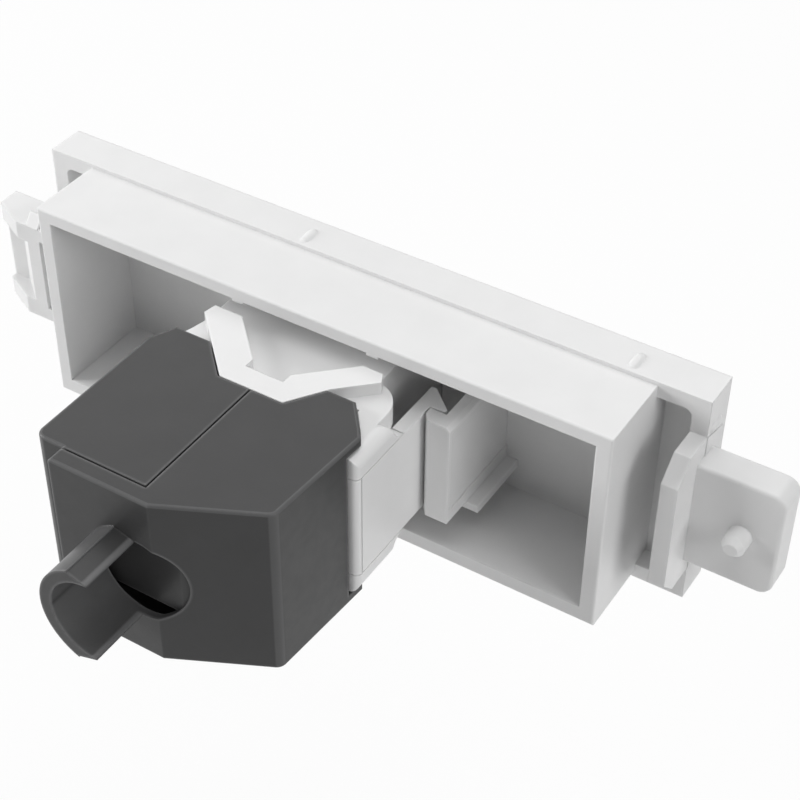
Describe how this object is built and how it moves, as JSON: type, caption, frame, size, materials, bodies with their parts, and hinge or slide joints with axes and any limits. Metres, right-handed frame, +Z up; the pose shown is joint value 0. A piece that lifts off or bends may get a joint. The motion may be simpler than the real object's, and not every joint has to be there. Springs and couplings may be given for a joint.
{
  "type": "ethernet wall socket",
  "caption": "Socket insert: white face plate with a clip-in data jack, sprung latch lever and a dark pull-off wiring cap with a half-round cable outlet.",
  "frame": {"origin": "centre of the plane of the plate's rear rim, which seats against the carrier", "axes": "+X along the plate towards the snap latch, +Y to the rear into the wall box, +Z up"},
  "size_m": [0.0811, 0.0418, 0.0228],
  "materials": {
    "white_plastic": "satin",
    "ivory_plastic": "satin",
    "dark_plastic": "satin",
    "comb_plastic": "satin",
    "contact_metal": "polished",
    "terminal_metal": "satin",
    "board_laminate": "satin"
  },
  "bodies": {
    "insert": {"frame": "white_plastic", "jack_housing": "ivory_plastic", "contact_insert": "ivory_plastic", "contact_1": "contact_metal", "contact_2": "contact_metal", "contact_3": "contact_metal", "contact_4": "contact_metal", "contact_5": "contact_metal", "contact_6": "contact_metal", "contact_7": "contact_metal", "contact_8": "contact_metal", "circuit_board": "board_laminate", "terminal_block": "dark_plastic", "terminal_1": "terminal_metal", "terminal_2": "terminal_metal", "terminal_3": "terminal_metal", "terminal_4": "terminal_metal", "terminal_5": "terminal_metal", "terminal_6": "terminal_metal", "terminal_7": "terminal_metal", "terminal_8": "terminal_metal"},
    "latch": {"latch_lever": "ivory_plastic"},
    "cap": {"cap_body": "dark_plastic", "cap_cover": "dark_plastic", "wire_comb": "comb_plastic"}
  },
  "joints": [
    {"name": "latch_hinge", "type": "hinge", "parent": "insert", "child": "latch", "pos_m": [-0.01135, 0.01675, 0], "axis": [0, 0, 1], "range_deg": [0, 8], "stiffness_Nm_per_rad": 0.02, "springref_deg": -2.86},
    {"name": "cap_slide", "type": "slide", "parent": "insert", "child": "cap", "axis": [0, 1, 0], "range_m": [0, 0.008]}
  ]
}
